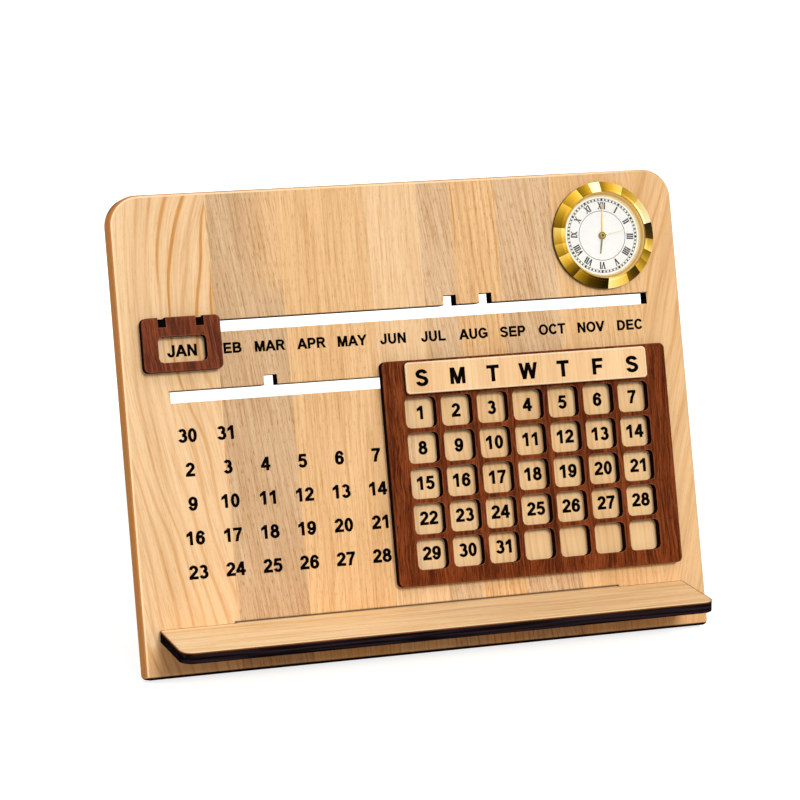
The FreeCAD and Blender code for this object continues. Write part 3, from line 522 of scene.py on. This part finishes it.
def moulded(name, low, high, roughness, gloss=0.5):
    """Plastic, rubber, enamel or blackened steel: a slight mottle and a faint grained surface."""
    m = Shader(name, Roughness=roughness, Specular_IOR_Level=gloss)
    place = m.board()
    mottle = m.noise(place, (0.5, 0.5, 0.5), 2.0)
    skin = m.noise(place, (9, 9, 9), 2.0)
    m.set(m.bsdf.inputs["Base Color"], m.mix(mottle, srgb(*low), srgb(*high)))
    return m.finish(skin, 0.003)


def crystal():
    """Clear flat glass, seen by its gloss."""
    m = Shader("crystal_glass", Roughness=0.03)
    smear = m.noise(m.board(), (0.08, 0.05, 0.1), 2.0)
    edge = m.node("LayerWeight")
    edge.inputs["Blend"].default_value = 0.12
    gloss = m.math("MULTIPLY", edge.outputs["Fresnel"], 0.2)
    clear = m.math("ADD", gloss, m.span(smear, 0.3, 0.7, 0.03, 0.05))
    m.set(m.bsdf.inputs["Base Color"], m.mix(smear, srgb(244, 248, 250), srgb(250, 252, 252)))
    m.set(m.bsdf.inputs["Alpha"], clear)
    return m.finish()


def ink(name, low, high):
    """Printing ink, a little uneven."""
    m = Shader(name, Roughness=0.8, Specular_IOR_Level=0.0)
    patchy = m.noise(m.board(), (1.5, 1.5, 1.5), 3.0)
    m.set(m.bsdf.inputs["Base Color"], m.mix(patchy, srgb(*low), srgb(*high)))
    return m.finish(patchy, 0.002)


paint(board_wood(), "panel_board")
paint(shelf_wood(), "shelf")
paint(leg_wood(), "leg_left", "leg_right")
paint(walnut("walnut", 0.0, 7.0, 0.0), "calendar_grid_plate")
paint(walnut("walnut_small", 0.12, 3.0, 0.08), "month_slider_plate")
paint(strip_wood(), "weekday_strip")
paint(moulded("black_steel", (5, 4, 4), (14, 12, 12), 0.6, 0.0),
      "month_hook_left", "month_hook_right", "grid_hook_left", "grid_hook_right")
paint(bezel_gilt(), "clock_bezel")
paint(ring_gilt(), "clock_inner_ring")
paint(hand_gilt("minute_gilt", (208, 162, 104)), "minute_hand")
# the hour hand is gilt like the others; its dark greenish tone is a painted reflection of a dark surround
paint(hand_gilt("hour_gilt", (92, 88, 52)), "hour_hand")
paint(hand_gilt("second_gilt", (186, 182, 152)), "second_hand", "second_arbor")
paint(metal("brass", (190, 150, 80), (214, 178, 104), 0.3), "cannon_pinion", "minute_wheel", "hour_wheel")
paint(metal("bright_steel", (180, 180, 180), (214, 214, 214), 0.3), "button_cell", "battery_cover")
paint(metal("gilt_contact", (206, 176, 96), (226, 200, 128), 0.28), "cell_contact")
paint(moulded("white_enamel", (240, 239, 234), (246, 245, 240), 0.40, 0.2), "clock_dial")
paint(moulded("black_plastic", (26, 26, 27), (36, 36, 37), 0.35), "clock_case", "movement_housing")
paint(moulded("black_knob", (30, 30, 31), (44, 44, 45), 0.5), "setting_knob")
paint(moulded("milky_rubber", (206, 206, 198), (224, 224, 216), 0.55), "clock_grip_ring")
paint(moulded("white_moulding", (222, 222, 214), (234, 234, 228), 0.5), "movement_plate")
paint(crystal(), "clock_crystal")
print_ink = ink("print_ink", (6, 4, 3), (16, 12, 9))
dial_ink = ink("dial_ink", (4, 5, 8), (14, 15, 19))


# ---- lettering: a plain bold sans serif of bars, slants and bows, one unit to a capital's height
BOW_SIDE, BOW_TOP = 0.2, 0.165       # a bow's stroke at its sides, and at its top and foot
BOW_STEP = 15                        # degrees of a bow's flat


def bar(x0, y0, x1, y1):
    return [(x0, y0), (x1, y0), (x1, y1), (x0, y1)]


def slant(low, high, wide, y0=0.0, y1=1.0):
    """A leaning stroke from the left corner low at y0 to the left corner high at y1."""
    return [(low, y0), (low + wide, y0), (high + wide, y1), (high, y1)]


def bow(x, y, rx, ry, start=0, end=360):
    """Part of an oval ring about (x, y), anticlockwise from the right, in degrees."""
    faces, count = [], round((end - start) / BOW_STEP)
    inner_x, inner_y = rx - BOW_SIDE, ry - BOW_TOP
    for i in range(count):
        a, b = (math.radians(start + (end - start) * k / count) for k in (i, i + 1))
        corners = ((rx, ry, a), (rx, ry, b), (inner_x, inner_y, b), (inner_x, inner_y, a))
        faces.append([(x + wide * math.cos(turn), y + high * math.sin(turn)) for wide, high, turn in corners])
    return faces


STEM = [bar(0.10, 0, 0.30, 1)]
SIX = bow(0.395, 0.325, 0.335, 0.338) + bow(0.425, 0.50, 0.365, 0.513, 30, 210)
GLYPHS = {
    "0": (0.777, bow(0.388, 0.5, 0.325, 0.513)),
    "1": (0.777, [bar(0.356, 0, 0.547, 1), [(0.11, 0.625), (0.356, 0.74), (0.40, 1), (0.11, 0.80)]]),
    "2": (0.777, bow(0.38, 0.70, 0.325, 0.313, -40, 170) + [bar(0.035, 0, 0.71, 0.165), [
        (0.035, 0), (0.30, 0.165), (0.629, 0.499), (0.476, 0.605), (0.035, 0.17)]]),
    "3": (0.777, bow(0.375, 0.725, 0.30, 0.288, -90, 150) + bow(0.38, 0.302, 0.345, 0.315, -155, 90)),
    "4": (0.777, [bar(0.03, 0.215, 0.745, 0.38), bar(0.44, 0, 0.63, 1),
                  [(0.03, 0.37), (0.235, 0.37), (0.46, 0.70), (0.46, 1), (0.42, 1)]]),
    "5": (0.777, bow(0.385, 0.33, 0.345, 0.343, -155, 125) + [
        bar(0.17, 0.835, 0.68, 1), [(0.075, 0.47), (0.27, 0.50), (0.34, 1), (0.165, 1)]]),
    "6": (0.777, SIX),
    "7": (0.777, [bar(0.06, 0.835, 0.715, 1),
                  slant(0.285, 0.50, 0.20, 0.43, 0.84), slant(0.19, 0.285, 0.195, 0, 0.43)]),
    "8": (0.777, bow(0.39, 0.735, 0.295, 0.278) + bow(0.39, 0.302, 0.345, 0.315)),
    "9": (0.777, [[(0.777 - x, 1 - y) for x, y in face] for face in SIX]),
    "A": (1.0, [slant(0, 0.39, 0.215), slant(0.785, 0.40, 0.215), bar(0.25, 0.225, 0.75, 0.39)]),
    "B": (1.0, STEM + bow(0.58, 0.745, 0.295, 0.255, -90, 90) + bow(0.60, 0.29, 0.335, 0.29, -90, 90) + [
        bar(0.30, 0.835, 0.58, 1), bar(0.30, 0.425, 0.60, 0.58), bar(0.30, 0, 0.60, 0.165)]),
    "C": (1.0, bow(0.51, 0.5, 0.445, 0.515, 36, 324)),
    "D": (1.0, STEM + bow(0.47, 0.5, 0.465, 0.5, -90, 90) + [
        bar(0.30, 0.835, 0.47, 1), bar(0.30, 0, 0.47, 0.165)]),
    "E": (0.93, STEM + [bar(0.30, 0.835, 0.84, 1), bar(0.30, 0.425, 0.80, 0.585), bar(0.30, 0, 0.86, 0.165)]),
    "F": (0.85, STEM + [bar(0.30, 0.835, 0.79, 1), bar(0.30, 0.41, 0.72, 0.575)]),
    "G": (1.08, bow(0.54, 0.5, 0.475, 0.515, 36, 318) + [
        bar(0.56, 0.38, 0.995, 0.54), bar(0.81, 0.13, 0.995, 0.54)]),
    "J": (0.777, bow(0.355, 0.325, 0.325, 0.34, 180, 360) + [bar(0.48, 0.31, 0.68, 1)]),
    "L": (0.84, STEM + [bar(0.30, 0, 0.81, 0.165)]),
    "M": (1.163, [bar(0.10, 0, 0.285, 1), bar(0.878, 0, 1.063, 1),
                  slant(0.485, 0.16, 0.195), slant(0.483, 0.808, 0.195)]),
    "N": (1.0, [bar(0.10, 0, 0.287, 1), bar(0.72, 0, 0.905, 1), slant(0.70, 0.10, 0.205)]),
    "O": (1.08, bow(0.543, 0.5, 0.482, 0.517)),
    "P": (0.93, STEM + bow(0.56, 0.68, 0.315, 0.32, -90, 90) + [
        bar(0.30, 0.835, 0.56, 1), bar(0.30, 0.36, 0.56, 0.525)]),
    "R": (1.0, STEM + bow(0.60, 0.715, 0.305, 0.285, -90, 90) + [
        bar(0.30, 0.835, 0.60, 1), bar(0.30, 0.43, 0.60, 0.595), slant(0.745, 0.47, 0.225, 0, 0.47)]),
    "S": (0.93, bow(0.455, 0.74, 0.375, 0.275, 15, 235) + bow(0.465, 0.285, 0.395, 0.30, -165, 55) + [
        [(0.240, 0.515), (0.578, 0.396), (0.692, 0.531), (0.355, 0.65)]]),
    "T": (0.85, [bar(0.03, 0.835, 0.82, 1), bar(0.325, 0, 0.525, 1)]),
    "U": (1.0, bow(0.5, 0.38, 0.40, 0.395, 180, 360) + [bar(0.10, 0.37, 0.30, 1), bar(0.70, 0.37, 0.90, 1)]),
    "V": (0.93, [slant(0.36, 0, 0.21), slant(0.36, 0.72, 0.21)]),
    "W": (1.22, [slant(0.235, 0, 0.195), slant(0.235, 0.50, 0.195),
                 slant(0.79, 0.525, 0.195), slant(0.79, 1.025, 0.195)]),
    "Y": (0.93, [bar(0.365, 0, 0.565, 0.45),
                 slant(0.365, 0, 0.215, 0.42, 1), slant(0.35, 0.715, 0.215, 0.42, 1)]),
}
PRINT_GAP = 0.03
PRINT_SWELL = 0.030     # of a capital's height, by which every stroke's outline grows


def piece(name, verts, faces, body, material):
    """A mesh of the printing, riding on a body."""
    mesh = bpy.data.meshes.new(name)
    mesh.from_pydata(verts, [], faces)
    mesh.update()
    mesh.materials.append(material)
    made = bpy.data.objects.new(name, mesh)
    bpy.context.scene.collection.objects.link(made)
    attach(made, body)


def swell(shape, margin):
    """A convex outline, anticlockwise or clockwise, grown by a margin on every side."""
    edges = list(zip(shape, shape[1:] + shape[:1]))
    turned = sum(x0 * y1 - x1 * y0 for (x0, y0), (x1, y1) in edges)
    sides = []
    for (x0, y0), (x1, y1) in edges:
        run = math.hypot(x1 - x0, y1 - y0) * math.copysign(1, turned)
        nx, ny = (y1 - y0) / run, (x0 - x1) / run
        sides.append((nx, ny, nx * x0 + ny * y0 + margin))
    grown = []
    for (ax, ay, a), (bx, by, b) in zip([sides[-1]] + sides[:-1], sides):
        cross = ax * by - ay * bx
        grown.append(((a * by - b * ay) / cross, (ax * b - bx * a) / cross))
    return grown


def lettering(name, words, body, level):
    """Words printed flat at one level; each is (text, across, up, cap height), centred there."""
    verts, faces = [], []
    for text, x, v, cap in words:
        shapes, at = [], 0.0
        for letter in text:
            advance, strokes = GLYPHS[letter]
            shapes += [[(at + sx, sy) for sx, sy in swell(stroke, PRINT_SWELL)] for stroke in strokes]
            at += advance
        reach = [sx for shape in shapes for sx, _ in shape]
        middle = (min(reach) + max(reach)) / 2
        for shape in shapes:
            faces.append(list(range(len(verts), len(verts) + len(shape))))
            verts += [point(x + (sx - middle) * cap, v + (sy - 0.5) * cap, level + PRINT_GAP)
                      for sx, sy in shape]
    piece(name, verts, faces, body, print_ink)


MONTHS = ("JAN", "FEB", "MAR", "APR", "MAY", "JUN", "JUL", "AUG", "SEP", "OCT", "NOV", "DEC")
JAN_AT = -107.0          # JAN is larger than the others, and stands a little apart from their even row
FEB_AT = -85.5
MONTH_STEP = 19.55
MONTH_LEVEL = 144.2
MONTH_FALL = 0.009       # of the row's middle, from left to right
MONTH_CAP = 4.6
JAN_CAP = 5.1

# each field of days: middle of its first day, steps along its first and its fifth row, drop from row to row
WEEK, DAYS, ROWS = "SMTWTFS", 31, 5
RIGHT_FIELD = ((2.6, 109.4), (17.55, 17.55), 16.1)
LEFT_FIELD = ((-107.8, 107.1), (17.6, 17.3), 15.3)
LEFT_COLUMNS, LEFT_FIRST = 6, 30
DAY_CAP = 5.85
WEEK_FIRST, WEEK_STEP, WEEK_LEVEL, WEEK_FALL, WEEK_CAP = 2.3, 17.3, 125.0, 0.006, 7.15
STRIP_FACE = 7.9


def month(place):
    """A month's name as (text, across, up, cap height), by its place in the year from 0."""
    x = FEB_AT + MONTH_STEP * (place - 1) if place else JAN_AT
    return MONTHS[place], x, MONTH_LEVEL - MONTH_FALL * x, MONTH_CAP if place else JAN_CAP


def initial(place):
    """A weekday's initial as (text, across, up, cap height), by its place in the week from 0."""
    x = WEEK_FIRST + WEEK_STEP * place
    return WEEK[place], x, WEEK_LEVEL - WEEK_FALL * x, WEEK_CAP


def day(number, layout, row, column):
    """A day's number as (text, across, up, cap height), by its row and column in a field."""
    (x, v), (top_step, foot_step), drop = layout
    step = top_step + (foot_step - top_step) * row / (ROWS - 1)
    return str(number), x + step * column, v - drop * row, DAY_CAP


def days():
    """Every day's number of both fields; the left one starts with 30 and 31, and then goes on from 2."""
    numbers = []
    for row in range(ROWS):
        for column in range(len(WEEK)):
            right = len(WEEK) * row + column + 1
            left = right - LEFT_COLUMNS if row else LEFT_FIRST + column
            if right <= DAYS:
                numbers.append(day(right, RIGHT_FIELD, row, column))
            if column < LEFT_COLUMNS and left <= DAYS:
                numbers.append(day(left, LEFT_FIELD, row, column))
    return numbers


lettering("month_names", [month(place) for place in range(len(MONTHS))], "stand", 0.0)
lettering("day_numbers", days(), "stand", 0.0)
lettering("weekday_letters", [initial(place) for place in range(len(WEEK))],
          "grid_slider", STRIP_FACE)


# ---- the dial
DIAL_FACE = 0.4
TRACK = 16.9             # radius of the minute marks, between two thin circles
TRACK_HALF = 0.55
CHAPTER = 11.6           # radius of the circle inside the numerals
NUMERAL_FOOT = 12.4
NUMERAL_TOP = 15.7
HOURS, MINUTES, CIRCLE_STEPS = 12, 60, 96
SPELT = ("XII", "I", "II", "III", "IIII", "V", "VI", "VII", "VIII", "IX", "X", "XI")
GLYPH_WIDE = {"I": 0.95, "V": 1.9, "X": 1.9}
GLYPH_INSET = 0.22       # of V's and X's strokes from the ends of their width
SERIF_HALF, SERIF_HIGH = 0.42, 0.09


def dial_point(r, angle, side=0.0):
    """A point of the dial: distance from the centre along a clock angle, and aside to the right of it."""
    bearing = math.radians(angle + CLOCK_TURN)
    across = r * math.sin(bearing) + side * math.cos(bearing)
    up = r * math.cos(bearing) - side * math.sin(bearing)
    return point(CLOCK_AT[0] + across, CLOCK_AT[1] + up, DIAL_FACE + PRINT_GAP)


def stroke(start, end, half):
    """A bar from start to end, each (side, height), half wide on each side and cut level at its ends."""
    (low, foot), (high, top) = start, end
    return [(low - half, foot), (low + half, foot), (high + half, top), (high - half, top)]


def numeral(text):
    """The bars of one numeral, centred on side 0, from height 0 to 1."""
    bars = []
    thick, thin = 0.34, 0.21
    total = sum(GLYPH_WIDE[letter] for letter in text)
    at = -total / 2
    for letter in text:
        wide = GLYPH_WIDE[letter]
        middle = at + wide / 2
        reach = wide / 2 - GLYPH_INSET
        if letter == "I":
            bars.append(stroke((middle, 0), (middle, 1), thick))
            ends = [(middle, 0), (middle, 1)]
        elif letter == "V":
            bars.append(stroke((middle, 0), (middle - reach, 1), thick))
            bars.append(stroke((middle, 0), (middle + reach, 1), thin))
            ends = [(middle - reach, 1), (middle + reach, 1)]
        else:
            bars.append(stroke((middle + reach, 0), (middle - reach, 1), thick))
            bars.append(stroke((middle - reach, 0), (middle + reach, 1), thin))
            ends = [(middle - reach, 0), (middle + reach, 0), (middle - reach, 1), (middle + reach, 1)]
        for side, height in ends:
            low = height if height == 0 else height - SERIF_HIGH
            bars.append(bar(side - SERIF_HALF, low, side + SERIF_HALF, low + SERIF_HIGH))
        at += wide
    return bars


def dial_print():
    """The dial's numerals, minute marks and circles, as one flat mesh."""
    verts, faces = [], []

    def add(points):
        faces.append(list(range(len(verts), len(verts) + len(points))))
        verts.extend(points)

    tall = NUMERAL_TOP - NUMERAL_FOOT
    for hour, text in enumerate(SPELT):
        angle = 360 / HOURS * hour
        for shape in numeral(text):
            add([dial_point(NUMERAL_FOOT + tall * height, angle, side) for side, height in shape])
    for minute in range(MINUTES):
        angle = 360 / MINUTES * minute
        half, reach = (0.70, 0.80) if minute % (MINUTES // HOURS) == 0 else (0.55, 0.52)
        add([dial_point(TRACK - reach, angle), dial_point(TRACK, angle, half),
             dial_point(TRACK + reach, angle), dial_point(TRACK, angle, -half)])
    for radius, half in ((CHAPTER, 0.12), (TRACK - TRACK_HALF, 0.09), (TRACK + TRACK_HALF, 0.09)):
        for i in range(CIRCLE_STEPS):
            start, end = 360 * i / CIRCLE_STEPS, 360 * (i + 1) / CIRCLE_STEPS
            add([dial_point(radius - half, start), dial_point(radius + half, start),
                 dial_point(radius + half, end), dial_point(radius - half, end)])
    piece("dial_print", verts, faces, "clock_insert", dial_ink)


dial_print()


# ---- floor, light and camera
def seen(tree):
    """1 for what the camera sees, straight or in gloss or glass."""
    path = tree.nodes.new("ShaderNodeLightPath")
    factor = path.outputs["Is Camera Ray"]
    for name in ("Is Glossy Ray", "Is Transmission Ray"):
        joined = tree.nodes.new("ShaderNodeMath")
        joined.operation = "MAXIMUM"
        tree.links.new(factor, joined.inputs[0])
        tree.links.new(path.outputs[name], joined.inputs[1])
        factor = joined.outputs[0]
    return factor


FLOOR_RADIUS, FLOOR_STEPS = 7.0, 48
FLOOR_DROP = 0.0002
CAMERA_AT = (-0.4791, -1.3464, 0.4275)
CAMERA_AZIMUTH, CAMERA_ELEVATION = 0.33507, 0.21491
CAMERA_SENSOR, CAMERA_LENS = 36.0, 144.9


def floor():
    """A pale round floor, lifted to white away from the object where the camera sees it."""
    angles = [2 * math.pi * i / FLOOR_STEPS for i in range(FLOOR_STEPS)]
    verts = [(FLOOR_RADIUS * math.cos(angle), FLOOR_RADIUS * math.sin(angle), 0.0) for angle in angles]
    mesh = bpy.data.meshes.new("floor")
    mesh.from_pydata(verts, [], [list(range(FLOOR_STEPS))])
    made = bpy.data.objects.new("floor", mesh)
    bpy.context.scene.collection.objects.link(made)
    made.location.z = -FLOOR_DROP
    m = Shader("floor_paper", Roughness=0.9)
    place = m.node("TexCoord").outputs["Object"]
    tone = m.noise(place, (3, 3, 3), 2.0)
    m.set(m.bsdf.inputs["Base Color"], m.mix(tone, srgb(186, 186, 186), srgb(192, 192, 192)))
    m.set(m.bsdf.inputs["Specular IOR Level"], 0.0)
    tree = m.tree
    shown = seen(tree)
    glow = m.node("Emission")
    lift = m.span(m.vector_math("LENGTH", place), 0.35, 1.0, 0.79, 1.0)
    m.set(glow.inputs["Strength"], m.math("MULTIPLY", lift, shown))
    both = m.node("AddShader")
    tree.links.new(m.bsdf.outputs[0], both.inputs[0])
    tree.links.new(glow.outputs[0], both.inputs[1])
    output = next(node for node in tree.nodes if node.type == "OUTPUT_MATERIAL")
    tree.links.new(both.outputs[0], output.inputs["Surface"])
    mesh.materials.append(m.material)


def world():
    """Soft fill on the object, and white where the camera sees past it."""
    made = bpy.data.worlds.new("studio")
    made.use_nodes = True
    bpy.context.scene.world = made
    tree = made.node_tree
    tree.nodes.clear()
    fill = tree.nodes.new("ShaderNodeBackground")
    fill.inputs["Strength"].default_value = 0.44
    back = tree.nodes.new("ShaderNodeBackground")
    back.inputs["Color"].default_value = (1, 1, 1, 1)
    both = tree.nodes.new("ShaderNodeMixShader")
    tree.links.new(seen(tree), both.inputs[0])
    tree.links.new(fill.outputs[0], both.inputs[1])
    tree.links.new(back.outputs[0], both.inputs[2])
    output = tree.nodes.new("ShaderNodeOutputWorld")
    tree.links.new(both.outputs[0], output.inputs[0])


def sun(name, towards, strength, soft):
    """A far lamp whose light comes from a direction of the row frame."""
    data = bpy.data.lights.new(name, "SUN")
    data.energy = strength
    data.angle = math.radians(soft)
    made = bpy.data.objects.new(name, data)
    bpy.context.scene.collection.objects.link(made)
    made.rotation_euler = Vector(towards).to_track_quat("Z", "Y").to_euler()


def camera():
    """The photo's viewing angle, from the left and a little above."""
    data = bpy.data.cameras.new("camera")
    data.sensor_width = CAMERA_SENSOR
    data.lens = CAMERA_LENS
    made = bpy.data.objects.new("camera", data)
    bpy.context.scene.collection.objects.link(made)
    level = math.cos(CAMERA_ELEVATION)
    look = Vector((math.sin(CAMERA_AZIMUTH) * level, math.cos(CAMERA_AZIMUTH) * level,
                   -math.sin(CAMERA_ELEVATION)))
    made.location = CAMERA_AT
    made.rotation_euler = look.to_track_quat("-Z", "Y").to_euler()
    bpy.context.scene.camera = made


floor()
world()
sun("key", RIGHT * 0.12 + UP * 0.24 + OUT, 1.89, 16)
sun("top", (0.1, -0.3, 1), 0.72, 70)
camera()
bpy.context.scene.view_settings.view_transform = "Standard"
